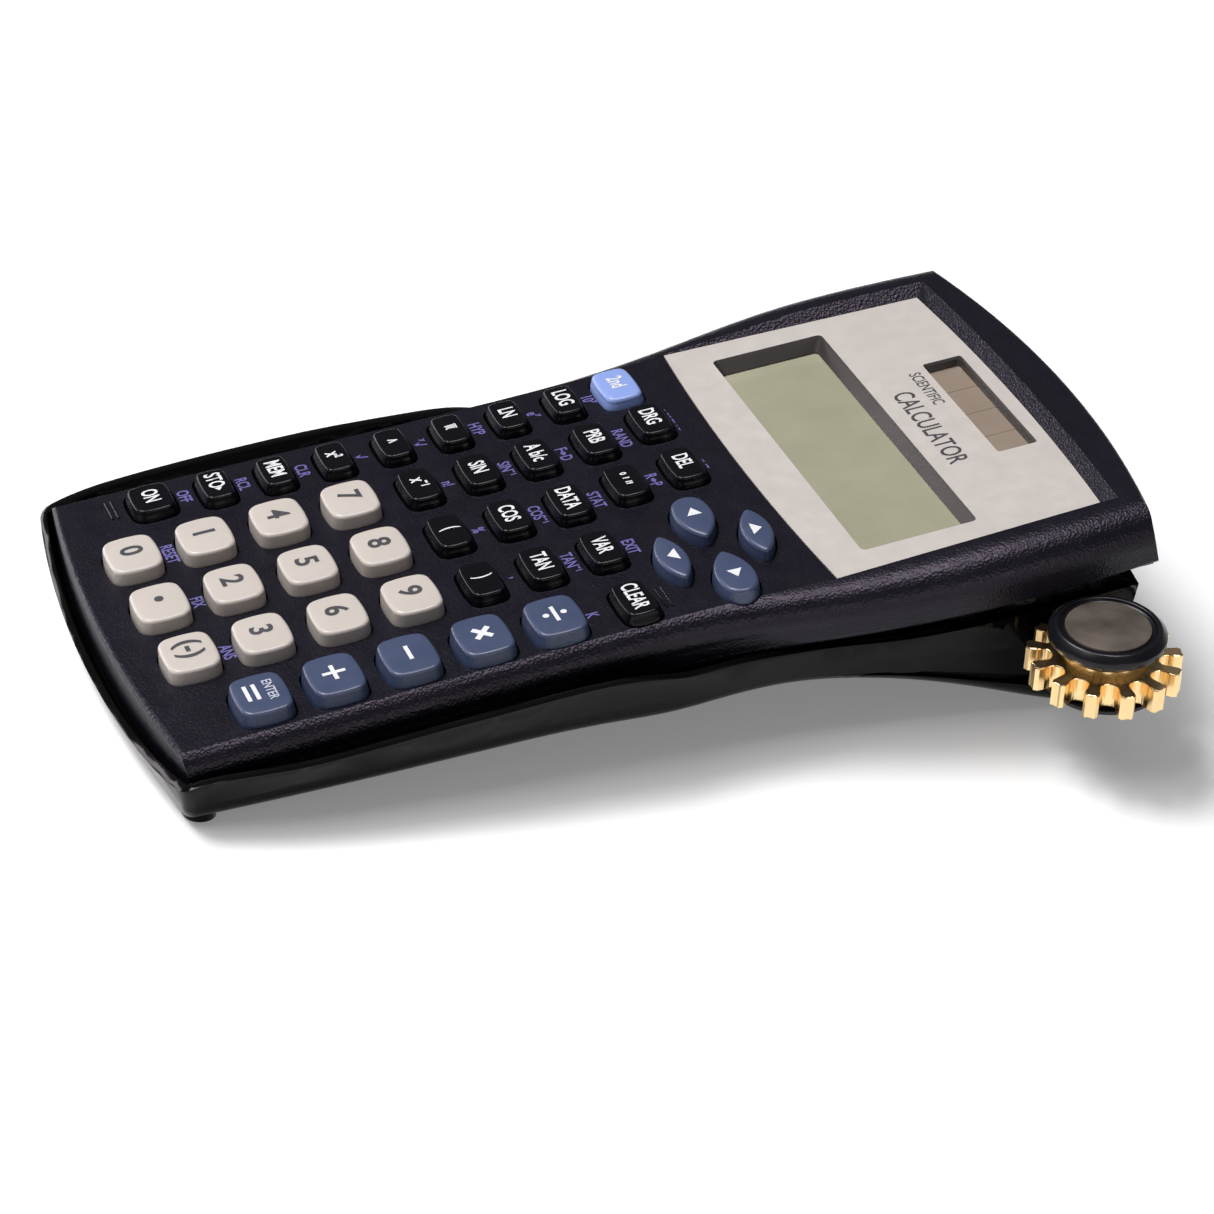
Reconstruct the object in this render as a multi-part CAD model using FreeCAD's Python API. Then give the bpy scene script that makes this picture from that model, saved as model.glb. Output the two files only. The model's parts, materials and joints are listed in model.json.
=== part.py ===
import FreeCAD, Part
import math
import os

from FreeCAD import Vector

# Pocket scientific calculator with its slide-on hard cover fitted behind it and a geared
# spinner carried on a ledge at one display-end corner of the cover.
#
# Everything is drawn in the calculator's own directions: X across the keys, Y from the
# keypad end towards the display, Z out of the key face, with the key face at Z = 0.
# At the end the whole assembly is leaned back to the angle at which the cover rests on a
# flat surface, and its origin goes to the middle of the footprint.  Millimetres.

# ---- case -----------------------------------------------------------------------------
CASE_LENGTH = 158.3          # crest of the display end
END_ARC_DROP = 4.3           # how far the display-end corners fall short of the crest
DISPLAY_END_SLANT = 0.18     # outward run of the display end wall per unit of depth
KEYPAD_END_Y = 4.4           # middle of the keypad end
KEYPAD_ARC_DROP = 3.2
END_TUCK = 1.0               # step back of the keypad end below the seam
CAVITY_Y = 7.0               # keypad end of the room inside the shells
END_WALL = 4.4               # thickness of the display end
SKIN = 1.6                   # wall of the front shell
BACK_SKIN = 1.4
SEAM_Z = -7.0
OVERHANG_Z = (-7.8, -8.5)    # the back shell tucks in below: keypad end, display
TUCK_HALF = 34.3             # half width of the back shell below the overhang
KEYPAD_HALF = 34.9           # half widths of the case: keypad end, waist, beside the display
WAIST_HALF = 34.0
DISPLAY_HALF = 40.4
RIM_RISE = 1.5               # raised rim around the display panel
SHOULDER_RUN = (2.0, 5.6)    # reach of the rounded shoulder over the face: keypad, display
SIDE_WALL = 1.4
GROOVE = (-10.0, 69.0, -8.15, -7.35)   # cover rail groove: y from, to, z from, to
GROOVE_DEPTH_X = 33.2

# ---- display --------------------------------------------------------------------------
PANEL_Y = (104.6, 150.2)
PANEL_HALF = (33.0, 31.7)    # at the keypad side, at the far side
PANEL_THICK = 0.5
PANEL_BOW = 1.3
WINDOW_Y = (112.0, 130.6)
WINDOW_HALF = 28.2
SOLAR_Y = (141.2, 147.8)
SOLAR_HALF = 13.4
LCD_TOP = -2.3
LCD_THICK = 2.0

# ---- keys -----------------------------------------------------------------------------
KEY_GAP = 0.28               # between a key and the edge of its hole
FLANGE_MARGIN = 0.4
FLANGE_TOP = -1.75
FLANGE_BOTTOM = -2.6
MEMBRANE_TOP = -4.6
DOME_TOP = -3.75
DOME_RADIUS = 2.1
BOARD_TOP = -5.5
BOARD_THICK = 0.9
CELL_R = 5.75                # button cell
CELL_THICK = 3.4
CELL_TOP = -6.5
CELL_Y = 104.0
SCREW_X = 31.3
SCREW_Y = (11.8, 72.0, 137.0)
SCREW_HEAD = 0.9
BOSS_R = 1.3
SCREW_R = 0.7
SCREW_BITE = 3.0
SCREW_HEAD_R = 1.7
SCREW_WELL_R = 1.85
DOOR_HALF = 11.0             # battery door: half width, reach to each side of the cell
DOOR_REACH = (10.0, 8.0)
DOOR_THICK = 1.15
MEMBRANE = (29.2, 9.5, 102.6)        # half width, y from, to
BOARD = (29.4, 9.4, 138.0)
CHIP_R = 5.0
CHIP_Y = 124.0
CLIP_HEIGHT = 2.4

NUMBER_KEY = (9.4, 8.2, 2.2)         # width, length, height above the face
OPERATOR_KEY = (9.9, 8.5, 2.2)
FUNCTION_KEY = (9.4, 6.1, 1.7)
COLUMN_ONE_KEY = (8.6, 5.6, 1.7)
ON_KEY = (8.2, 7.3, 1.7)
SECOND_KEY = (9.4, 6.8, 1.7)
PETAL_SIDE = (11.4, 6.3, 2.0)
PETAL_END = (12.4, 5.0, 2.0)

KEYS = {
    "key_0": (-13.4, 13.8, NUMBER_KEY), "key_point": (0, 14.0, NUMBER_KEY),
    "key_negate": (13.4, 14.3, NUMBER_KEY), "key_1": (-13.4, 24.9, NUMBER_KEY),
    "key_2": (0, 25.1, NUMBER_KEY), "key_3": (13.4, 25.2, NUMBER_KEY),
    "key_4": (-13.4, 36.3, NUMBER_KEY), "key_5": (0, 36.4, NUMBER_KEY),
    "key_6": (13.4, 36.5, NUMBER_KEY), "key_7": (-13.4, 47.5, NUMBER_KEY),
    "key_8": (0, 47.6, NUMBER_KEY), "key_9": (13.4, 47.7, NUMBER_KEY),
    "key_enter": (27.0, 20.6, OPERATOR_KEY), "key_plus": (27.0, 31.4, OPERATOR_KEY),
    "key_minus": (27.0, 42.5, OPERATOR_KEY), "key_times": (27.0, 53.6, OPERATOR_KEY),
    "key_divide": (27.0, 64.6, OPERATOR_KEY), "key_clear": (27.2, 76.8, FUNCTION_KEY),
    "key_open": (0, 58.3, FUNCTION_KEY), "key_close": (13.4, 58.4, FUNCTION_KEY),
    "key_cosine": (0, 67.7, FUNCTION_KEY), "key_tangent": (13.4, 67.7, FUNCTION_KEY),
    "key_data": (0, 77.1, FUNCTION_KEY), "key_statistics": (13.4, 77.2, FUNCTION_KEY),
    "key_degrees": (-1.2, 86.8, FUNCTION_KEY), "key_delete": (-1.9, 96.3, FUNCTION_KEY),
    "key_reciprocal": (-13.4, 58.4, FUNCTION_KEY), "key_sine": (-13.4, 67.8, FUNCTION_KEY),
    "key_fraction": (-13.4, 77.1, FUNCTION_KEY), "key_random": (-13.7, 86.7, FUNCTION_KEY),
    "key_angle": (-15.2, 96.4, FUNCTION_KEY), "key_on": (-27.0, 20.6, ON_KEY),
    "key_store": (-26.4, 30.5, COLUMN_ONE_KEY), "key_memory": (-26.0, 39.8, COLUMN_ONE_KEY),
    "key_square": (-25.8, 49.1, COLUMN_ONE_KEY), "key_power": (-25.6, 58.4, COLUMN_ONE_KEY),
    "key_pi": (-25.5, 67.7, COLUMN_ONE_KEY), "key_natural_log": (-25.5, 77.0, COLUMN_ONE_KEY),
    "key_log": (-25.7, 86.2, COLUMN_ONE_KEY), "key_second": (-26.3, 95.3, SECOND_KEY),
}
# arrow keys: x, y, size, blunt end (-1 left, 1 right, 0 neither), turn in degrees
PETALS = {
    "key_left": (12.4, 92.3, PETAL_SIDE, -1, -3), "key_right": (27.2, 92.1, PETAL_SIDE, 1, -3),
    "key_up": (19.2, 99.2, PETAL_END, 0, -7), "key_down": (20.3, 85.4, PETAL_END, 0, 0),
}

# ---- slide cover ----------------------------------------------------------------------
COVER_HALF = 36.6            # half width at the foot of the side walls
COVER_WALL = 1.4
COVER_FLOOR = 1.7
COVER_CORNER = 3.2
COVER_INNER_HALF = COVER_HALF - COVER_WALL
ROOM_CORNER = 0.8
MOUTH_INNER_HALF = 32.6      # half width inside the display-end hollow
MOUTH_CORNER = 3.0
MOUTH_START_Y = 90.0
MOUTH_TOP = -12.4
# closed end, bowed and running in under the case, as (z, y of the middle, corner drop)
COVER_END = ((4.0, -3.05, 8.2), (-14.0, 5.95, 0.9))
COVER_END_WALL = 1.2
COVER_END_ROUND = 1.8
COVER_OPEN_Y = 159.5         # middle of the open end, level with the key face
COVER_OPEN_DROP = -3.0
COVER_OPEN_SLANT = 0.27      # how far the open end leans back per unit of depth
RAIL = (12.0, 66.0, -8.0, -7.5)
RAIL_REACH = 33.45
FOOT_AT = (32.4, 8.6)
FOOT_R = 2.4
REST_ANCHOR = (5.5, -10.7)   # y and z of the line on which the keypad end rests
REST_LEAN = 9.2              # degrees
# rim height, lean of the wall out to the rim, and underside height, along the side
RIM_LEVEL_Y = 9.0            # the rim dips across the closed end, up to here
RIM_LINE = [(-6, -6.5), (0, -6.3), (2, -6.0), (4, -4.9), (6, -3.2), (9, -2.4), (20, -2.3),
            (38, -2.3), (55, -2.6), (65, -3.1), (71, -3.7), (76, -4.9), (80, -6.2), (86, -6.9),
            (96, -8.0), (105, -9.5), (114, -11.3), (131, -12.7), (147, -12.9), (164, -12.9)]
FLARE_LINE = [(-6, 0.2), (6, 1.15), (20, 3.25), (38, 3.65), (55, 3.3), (65, 2.75), (71, 2.6),
              (76, 2.2), (80, 1.7), (86, 0.9), (96, 0.4), (105, 0.1), (120, 0), (142, 0),
              (164, 0)]
UNDER_LINE = [(-6, -9.4), (6, -10.1), (22, -11.1), (52, -12.4), (67, -13.3), (80, -14.6),
              (92, -14.6), (103, -16.3), (114, -19.7), (126, -24.8), (138, -30.7),
              (146, -33.8), (153, -35.0), (164, -36.6)]
# finger scoop in each side of the cover: upper crease and lower edge, as (y, z)
SCOOP_UPPER = [(97.5, -12.9), (110, -14.9), (124, -17.0), (137, -18.9), (158, -21.4)]
SCOOP_LOWER = [(97.5, -13.3), (106, -15.4), (118, -19.2), (130, -24.0), (144, -29.4),
               (158, -34.0)]
SCOOP_DEPTH = 2.2

# ---- geared spinner -------------------------------------------------------------------
SPIN_AT = (48.5, 141.1, -18.9)       # middle of the underside of the lower cap
SPIN_LEAN = 5.0                      # degrees, towards the display
TEETH = 13
GEAR_TURN = 4.5                      # degrees from +X to the first gap between teeth
TIP_R = 11.4
ROOT_R = 7.9
GEAR_Z = (0.9, 4.9)                  # heights above the underside of the lower cap
GAP_HALF = (1.22, 1.78)      # half width of a gap between teeth: at the root, past the tip
ROOT_ROUND = 1.45
HUB_R = 6.6
HUB_TOP = 6.2
RACE_OUTER = (5.7, 4.85)
TRACK_R = 3.5                # inner ball track on the post
POST_R = 2.4
PEG_R = 1.2
LOW_CAP = 0.55
RACE_Z = (1.5, 6.5)
BALL_RADIUS = 0.95
BALL_RING = 4.18
BALLS = 8
CAP_R = 8.75
CAP_TOP_R = 7.8
CAP_Z = (7.5, 9.8)
INLAY_R = 6.35
INLAY_GAP = 0.75
INLAY_SEAT = 0.5
LEDGE_THICK = 2.0
LEDGE_R = 5.2

PARTS = {}
X_AXIS = Vector(1, 0, 0)
Z_AXIS = Vector(0, 0, 1)


def smooth(value, low, high):
    """0 below low, 1 above high, with an S-shaped ramp between."""
    t = min(1.0, max(0.0, (value - low) / (high - low)))
    return t * t * t * (t * (6 * t - 15) + 10)


def case_half(y):
    """Half width of the case at distance y from the keypad end."""
    waist = KEYPAD_HALF + (WAIST_HALF - KEYPAD_HALF) * smooth(y, -15, 88)
    flare = (DISPLAY_HALF - WAIST_HALF) * smooth(y, 74, 136)
    return waist + flare - 1.2 * smooth(y, 134, 172)


def box(x0, x1, y0, y1, z0, z1):
    return Part.makeBox(x1 - x0, y1 - y0, z1 - z0, Vector(x0, y0, z0))


def cylinder(radius, z0, z1, x=0.0, y=0.0):
    return Part.makeCylinder(radius, z1 - z0, Vector(x, y, z0))


def ring(outer, inner, z0, z1):
    return cylinder(outer, z0, z1).cut(cylinder(inner, z0 - 1, z1 + 1))


def spline(points):
    curve = Part.BSplineCurve()
    curve.interpolate([Vector(*p) for p in points])
    return curve.toShape()


def arc(a, b, c):
    return Part.Arc(Vector(*a), Vector(*b), Vector(*c)).toShape()


def segment(a, b):
    return Part.makeLine(Vector(*a), Vector(*b))


def side_prism(upper, lower, x0, x1):
    """Solid between two (y, z) curves, extruded across the width from x0 to x1."""
    top = [(x0, y, z) for y, z in upper]
    low = [(x0, y, z) for y, z in lower]
    edges = [spline(top), segment(top[-1], low[-1]), spline(low), segment(low[0], top[0])]
    return Part.Face(Part.Wire(Part.__sortEdges__(edges))).extrude(Vector(x1 - x0, 0, 0))


def plain_prism(points, x0, x1):
    """Solid with a straight-sided (y, z) outline."""
    corners = [Vector(x0, y, z) for y, z in points]
    return Part.Face(Part.makePolygon(corners + corners[:1])).extrude(Vector(x1 - x0, 0, 0))


def beyond_end(y_middle, drop, reach, z):
    """Outline, at height z, of everything past a bowed end whose corners fall short by drop."""
    corner = y_middle + drop
    skirt = corner + math.copysign(7.7, drop)
    points = [(38, corner, z), (60, skirt, z), (60, reach, z), (-60, reach, z),
              (-60, skirt, z), (-38, corner, z)]
    edges = [segment(points[i], points[i + 1]) for i in range(len(points) - 1)]
    return Part.Wire([arc(points[-1], (0, y_middle, z), points[0])] + edges)


def end_cutter(y_middle, drop, reach, slant, z0, z1):
    """Everything beyond a bowed end that runs outwards by slant per unit of depth."""
    levels = [beyond_end(y_middle - slant * z, drop, reach, z) for z in (z0, z1)]
    return Part.makeLoft(levels, True, True)


# ---- case shells ----------------------------------------------------------------------
def case_bottom(y):
    """Height of the flat underside of the case."""
    return -8.0 - 4.0 * smooth(y, -10, 112)


def case_section(y):
    """Closed outline of the whole case across its width at y."""
    side = case_half(y)
    top = RIM_RISE * smooth(y, 96, 142)
    bottom = case_bottom(y)
    tuck = min(TUCK_HALF, side - 0.3)
    run = SHOULDER_RUN[0] + (SHOULDER_RUN[1] - SHOULDER_RUN[0]) * smooth(y, 74, 130)
    inner = side - run
    low = SEAM_Z + 2.0
    hang = OVERHANG_Z[0] + (OVERHANG_Z[1] - OVERHANG_Z[0]) * smooth(y, 0, 80)
    edges = [segment((-inner, y, top), (inner, y, top))]
    for s in (1, -1):
        edges.append(arc((s * inner, y, top), (s * (side - 0.27 * run), y, top + 0.27 * (low - top)),
                         (s * side, y, low)))
        edges.append(segment((s * side, y, low), (s * side, y, SEAM_Z)))
        belly = (side + tuck) / 2 + 0.28 * (side - tuck)
        edges.append(arc((s * side, y, SEAM_Z), (s * belly, y, SEAM_Z + 0.77 * (hang - SEAM_Z)),
                         (s * tuck, y, hang)))
        edges.append(segment((s * tuck, y, hang), (s * (tuck - 0.4), y, bottom)))
    edges.append(segment((-tuck + 0.4, y, bottom), (tuck - 0.4, y, bottom)))
    return Part.Wire(Part.__sortEdges__(edges))


def case_body():
    stations = [-8 + 10.0 * i for i in range(18)]
    body = Part.makeLoft([case_section(y) for y in stations], True, False)
    body = body.cut(end_cutter(KEYPAD_END_Y, KEYPAD_ARC_DROP, -40, 0, -40, 20))
    body = body.cut(end_cutter(CASE_LENGTH, -END_ARC_DROP, 220, DISPLAY_END_SLANT, -40, 20))
    for radius, near in ((0.8, KEYPAD_END_Y), (1.2, CASE_LENGTH)):
        bows = [e for e in body.Edges if e.Length > 60 and e.CenterOfMass.z > -1
                and abs(e.CenterOfMass.y - near) < 3]
        body = body.makeFillet(radius, bows)
    return body


def case_cavity(widest, z0, z1):
    """Room inside the shells between two heights, no wider than twice widest."""
    rows = [CAVITY_Y, 30, 60, 82, 100, 120, 140, CASE_LENGTH - END_WALL]
    half = [min(case_half(y) - SIDE_WALL, widest) for y in rows]
    corner = 2.6
    rows[0] += corner
    rows[-1] -= corner
    right = [(h, y, z0) for h, y in zip(half, rows)]
    left = [(-h, y, z0) for h, y in zip(half, rows)]
    edges = [spline(right), spline(left),
             arc(left[0], (0, rows[0] - corner, z0), right[0]),
             arc(left[-1], (0, rows[-1] + corner, z0), right[-1])]
    face = Part.Face(Part.Wire(Part.__sortEdges__(edges)))
    return face.extrude(Vector(0, 0, z1 - z0))


def rail_grooves():
    y0, y1, z0, z1 = GROOVE
    room = box(GROOVE_DEPTH_X, 50, y0, y1, z0, z1)
    return room.fuse(room.mirror(Vector(), X_AXIS))


def panel_outline(grow, z):
    """Display panel edge, grown outwards, as a wire at height z."""
    y0, y1 = PANEL_Y[0] - grow, PANEL_Y[1] + grow
    h0, h1 = PANEL_HALF[0] + grow, PANEL_HALF[1] + grow
    edges = [arc((-h0, y0 + PANEL_BOW, z), (0, y0, z), (h0, y0 + PANEL_BOW, z)),
             segment((h0, y0 + PANEL_BOW, z), (h1, y1 - PANEL_BOW, z)),
             arc((h1, y1 - PANEL_BOW, z), (0, y1, z), (-h1, y1 - PANEL_BOW, z)),
             segment((-h1, y1 - PANEL_BOW, z), (-h0, y0 + PANEL_BOW, z))]
    return Part.Wire(edges)


def display_recess():
    """Flat-bottomed pocket for the panel, sloping out to the rim at the far end."""
    pocket = Part.Face(panel_outline(0.12, -PANEL_THICK)).extrude(Vector(0, 0, 6))
    low = panel_outline(0.12, 0.0)
    high = panel_outline(2.6, RIM_RISE + 0.6)
    return pocket.fuse(Part.makeLoft([low, high], True, True))


def window(half, y_range, z0, z1, corner=0.8):
    shape = box(-half, half, y_range[0], y_range[1], z0, z1)
    upright = [e for e in shape.Edges if abs(e.tangentAt(e.FirstParameter).z) > 0.9]
    return shape.makeFillet(corner, upright)


# ---- keys -----------------------------------------------------------------------------
def bowed_outline(width, length, bow):
    """Four sides of a rectangle, each swelling outwards by bow."""
    a, b = width / 2, length / 2
    corners = [(a - bow, b - bow, 0), (bow - a, b - bow, 0), (bow - a, bow - b, 0),
               (a - bow, bow - b, 0)]
    middles = [(0, b, 0), (-a, 0, 0), (0, -b, 0), (a, 0, 0)]
    sides = [arc(corners[i], middles[i], corners[(i + 1) % 4]) for i in range(4)]
    return Part.Wire(sides)


def petal_outline(width, length, blunt):
    """Leaf with two bowed long sides; blunt is -1 or 1 for the end that is cut off round."""
    a, b = width / 2, length / 2
    if blunt == 0:
        return Part.Wire([arc((-a, 0, 0), (0, b, 0), (a, 0, 0)),
                          arc((a, 0, 0), (0, -b, 0), (-a, 0, 0))])
    shoulder = blunt * a * 0.72
    peak = blunt * a * 0.12
    high, low = (shoulder, b * 0.83, 0), (shoulder, -b * 0.83, 0)
    return Part.Wire([arc((-blunt * a, 0, 0), (peak, b, 0), high),
                      arc(high, (blunt * a, 0, 0), low),
                      arc(low, (peak, -b, 0), (-blunt * a, 0, 0))])


def soft_prism(wire, z0, z1, corner):
    """Upright solid on an outline, with its upright edges rounded."""
    solid = Part.Face(wire).extrude(Vector(0, 0, z1 - z0))
    solid.translate(Vector(0, 0, z0))
    upright = [e for e in solid.Edges if e.BoundBox.ZLength > 0.5 * (z1 - z0)]
    return solid.makeFillet(corner, upright)


def key_solid(key, grow, z0, z1):
    """Plan shape of a key, grown outwards, between two heights, at the key's place."""
    width, length = key["size"][0] + 2 * grow, key["size"][1] + 2 * grow
    if "blunt" in key:
        wire = petal_outline(width, length, key["blunt"])
        corner = 0.9 + grow
    else:
        wire = bowed_outline(width, length, 0.055 * length)
        corner = 0.25 * key["size"][1] + grow
    solid = soft_prism(wire, z0, z1, corner)
    solid.rotate(Vector(), Z_AXIS, key.get("turn", 0))
    solid.translate(Vector(key["x"], key["y"], 0))
    return solid


def key_cap(key):
    """Cap above the face with a softened top edge, and a flange that keeps it in."""
    height = key["size"][2]
    cap = key_solid(key, 0.0, FLANGE_TOP, height)
    rim = [e for e in cap.Edges if e.BoundBox.ZMin > height - 0.01]
    cap = cap.makeFillet(key["soft"], rim)
    return cap.fuse(key_solid(key, FLANGE_MARGIN, FLANGE_BOTTOM, FLANGE_TOP))


def key_list():
    """Every key as a dictionary with its name, place, size and outline."""
    keys = [{"name": name, "x": x, "y": y, "size": size, "soft": 0.75}
            for name, (x, y, size) in KEYS.items()]
    for name, (x, y, size, blunt, turn) in PETALS.items():
        keys.append({"name": name, "x": x, "y": y, "size": size, "soft": 0.6, "blunt": blunt,
                     "turn": turn})
    return keys


def make_keys():
    for key in key_list():
        PARTS[key["name"]] = key_cap(key)


# ---- front and back shell -------------------------------------------------------------
def front_case(body):
    shell = body.cut(box(-60, 60, -40, 220, -60, SEAM_Z))
    shell = shell.cut(case_cavity(60, SEAM_Z - 1, -SKIN))
    shell = shell.cut(display_recess())
    shell = shell.cut(window(WINDOW_HALF + 0.2, (WINDOW_Y[0] - 0.2, WINDOW_Y[1] + 0.2), -5, 2))
    shell = shell.cut(window(SOLAR_HALF + 0.2, (SOLAR_Y[0] - 0.2, SOLAR_Y[1] + 0.2), -5, 2))
    holes = [key_solid(key, KEY_GAP, -5, 5) for key in key_list()]
    shell = shell.cut(Part.makeCompound(holes))
    bosses = [cylinder(BOSS_R, SEAM_Z, -SKIN + 0.1, x, y) for x, y in screw_places()]
    pilots = [cylinder(SCREW_R, SEAM_Z - 1, SEAM_Z + SCREW_BITE, x, y) for x, y in screw_places()]
    return shell.fuse(bosses).cut(Part.makeCompound(pilots))


def screw_places():
    return [(x, y) for y in SCREW_Y for x in (-SCREW_X, SCREW_X)]


def back_case(body):
    shell = body.common(box(-60, 60, -40, 220, -60, SEAM_Z))
    floor = [(y, case_bottom(y) + BACK_SKIN) for y in range(0, 121, 20)]
    floor = [(-20, floor[0][1])] + floor + [(200, floor[-1][1]), (200, 5), (-20, 5)]
    room = case_cavity(TUCK_HALF - 2.6, -20, SEAM_Z + 1).common(plain_prism(floor, -60, 60))
    shell = shell.cut(room).cut(rail_grooves())
    shell = shell.cut(end_cutter(KEYPAD_END_Y + END_TUCK, KEYPAD_ARC_DROP, -40, 0, -40, SEAM_Z))
    for x, y in screw_places():
        seat = case_bottom(y) + SCREW_HEAD + 0.1
        shell = shell.cut(cylinder(SCREW_R + 0.1, -20, 0, x, y))
        shell = shell.cut(cylinder(SCREW_WELL_R, -20, seat, x, y))
    return shell.cut(battery_door(0.15))


def battery_door(grow=0.0):
    """Flat lid under the button cell, let into the back shell."""
    y0, y1 = CELL_Y - DOOR_REACH[0] - grow, CELL_Y + DOOR_REACH[1] + grow
    half = DOOR_HALF + grow
    under = case_bottom(y0) + 0.05
    return box(-half, half, y0, y1, under - 2 * grow, under + DOOR_THICK)


def case_screws():
    screws = []
    for x, y in screw_places():
        under = case_bottom(y) + 0.1
        top = under + SCREW_HEAD
        slot = box(x - 1.2, x + 1.2, y - 0.2, y + 0.2, under - 1, under + 0.35)
        screws.append(cylinder(SCREW_HEAD_R, under, top, x, y).cut(slot).fuse(
            cylinder(SCREW_R, top, SEAM_Z + SCREW_BITE, x, y)))
    return Part.makeCompound(screws)


# ---- display and electronics ----------------------------------------------------------
def display_panel():
    panel = Part.Face(panel_outline(0, -PANEL_THICK)).extrude(Vector(0, 0, PANEL_THICK))
    panel = panel.cut(window(WINDOW_HALF, WINDOW_Y, -5, 2))
    return panel.cut(window(SOLAR_HALF, SOLAR_Y, -5, 2, 0.5))


def lcd_module():
    """Moulded frame with the glass in it, on two rubber contact strips."""
    half, y0, y1 = WINDOW_HALF + 1.2, WINDOW_Y[0] - 1.6, WINDOW_Y[1] + 2.2
    glass_y = (WINDOW_Y[0] + 0.1, WINDOW_Y[1] + 0.6)
    bed = LCD_TOP - 1.3
    frame = box(-half, half, y0, y1, LCD_TOP - LCD_THICK, LCD_TOP)
    frame = frame.cut(box(-half + 1, half - 1, *glass_y, bed, LCD_TOP + 1))
    glass = box(-half + 1, half - 1, *glass_y, bed, LCD_TOP - 0.15)
    strips = [box(-half + 2, half - 2, y, y + 1.2, BOARD_TOP, LCD_TOP - LCD_THICK)
              for y in (y0 + 0.4, y1 - 1.6)]
    return Part.makeCompound([frame, glass] + strips)


def solar_cell():
    return box(-SOLAR_HALF - 0.8, SOLAR_HALF + 0.8, SOLAR_Y[0] - 0.8, SOLAR_Y[1] + 0.8,
               -SKIN - 1.1, -SKIN)


def key_membrane():
    """Silicone sheet with one low dome under each key."""
    half, y0, y1 = MEMBRANE
    sheet = box(-half, half, y0, y1, BOARD_TOP, MEMBRANE_TOP)
    domes = [Part.makeCone(DOME_RADIUS, DOME_RADIUS * 0.7, DOME_TOP - MEMBRANE_TOP + 0.1,
                           Vector(key["x"], key["y"], MEMBRANE_TOP - 0.1))
             for key in key_list()]
    return sheet.fuse(domes)


def circuit_board():
    """Board with its chip and the spring clip that holds the button cell."""
    under = BOARD_TOP - BOARD_THICK
    half, y0, y1 = BOARD
    board = box(-half, half, y0, y1, under, BOARD_TOP)
    chip = cylinder(CHIP_R, under - 1.2, under, 0, CHIP_Y)
    clip = ring(CELL_R + 1.1, CELL_R + 0.4, 0, CLIP_HEIGHT).cut(box(-3, 3, -9, 9, -1, 4))
    clip.translate(Vector(0, CELL_Y, under - CLIP_HEIGHT))
    return board.fuse([chip] + clip.Solids)


def button_cell():
    return cylinder(CELL_R, CELL_TOP - CELL_THICK, CELL_TOP, 0, CELL_Y)


# ---- slide cover ----------------------------------------------------------------------
def cover_section(y, half, bottom, corner, top=4.0):
    """U-shaped outline whose side walls lean out to the rim, closed along a flat top."""
    c = corner * 0.293
    foot = bottom + corner
    lean = height_on(FLARE_LINE, y) / (height_on(RIM_LINE, max(y, RIM_LEVEL_Y)) - foot)
    crest = half + lean * (top - foot)
    edges = [segment((-crest, y, top), (crest, y, top)),
             segment((crest, y, top), (half, y, foot)),
             arc((half, y, foot), (half - c, y, bottom + c), (half - corner, y, bottom)),
             segment((half - corner, y, bottom), (-half + corner, y, bottom)),
             arc((-half + corner, y, bottom), (-half + c, y, bottom + c), (-half, y, foot)),
             segment((-half, y, foot), (-crest, y, top))]
    return Part.Wire(edges)


def height_on(line, y):
    """Value, at y, of a smooth line through (y, value) points."""
    curve = Part.BSplineCurve()
    curve.interpolate([Vector(0, py, pz) for py, pz in line])
    plane = Part.Plane(Vector(0, y, 0), Vector(0, 1, 0))
    return curve.intersect(plane)[0][0].Z


def cover_loft(half, lift, corner, y0, y1):
    steps = 18
    rows = [y0 + (y1 - y0) * i / steps for i in range(steps + 1)]
    wires = [cover_section(y, half, height_on(UNDER_LINE, y) + lift, corner) for y in rows]
    return Part.makeLoft(wires, True, False)


def closed_end(wall):
    """Everything past the closed end of the cover, or past the inside of its end wall."""
    levels = [beyond_end(y + wall, drop, -60, z) for z, y, drop in COVER_END]
    return Part.makeLoft(levels, True, True)


def rest_height(y):
    return REST_ANCHOR[1] - math.tan(math.radians(REST_LEAN)) * (y - REST_ANCHOR[0])


def scoop():
    """Finger recess in the +X side wall, deepening towards the open end."""
    cutter = side_prism(SCOOP_UPPER, SCOOP_LOWER, 0, 20)
    slope = math.degrees(math.atan2(SCOOP_DEPTH, SCOOP_UPPER[-1][0] - SCOOP_UPPER[0][0]))
    cutter.translate(Vector(0, -SCOOP_UPPER[0][0], 0))
    cutter.rotate(Vector(), Z_AXIS, slope)
    cutter.translate(Vector(COVER_HALF - 0.15, SCOOP_UPPER[0][0], 0))
    return cutter


def cover_blank():
    """Outside of the cover as a solid block, with its rounded closed end."""
    blank = cover_loft(COVER_HALF, 0.0, COVER_CORNER, -5.0, 162.0).cut(closed_end(0))
    end_face = min(blank.Faces, key=lambda face: face.CenterOfMass.y)
    around = [e for e in end_face.Edges if e.CenterOfMass.z < 2]
    blank = blank.makeFillet(COVER_END_ROUND, around)
    return blank.common(side_prism(RIM_LINE, [(-6, -60), (80, -60), (164, -60)], -60, 60))


def cover_room():
    """Hollow of the cover: wide above the tray for the case, narrower in the open end."""
    tray = [(-30, 10), (-30, -60), (MOUTH_START_Y, -60), (MOUTH_START_Y, MOUTH_TOP),
            (200, MOUTH_TOP), (200, 10)]
    room = cover_loft(COVER_INNER_HALF, COVER_FLOOR, ROOM_CORNER, -4.9, 162.0)
    room = room.common(plain_prism(tray, -60, 60))
    room = room.fuse(cover_loft(MOUTH_INNER_HALF, COVER_FLOOR, MOUTH_CORNER, -4.9, 162.0))
    return room.cut(closed_end(COVER_END_WALL))


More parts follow.
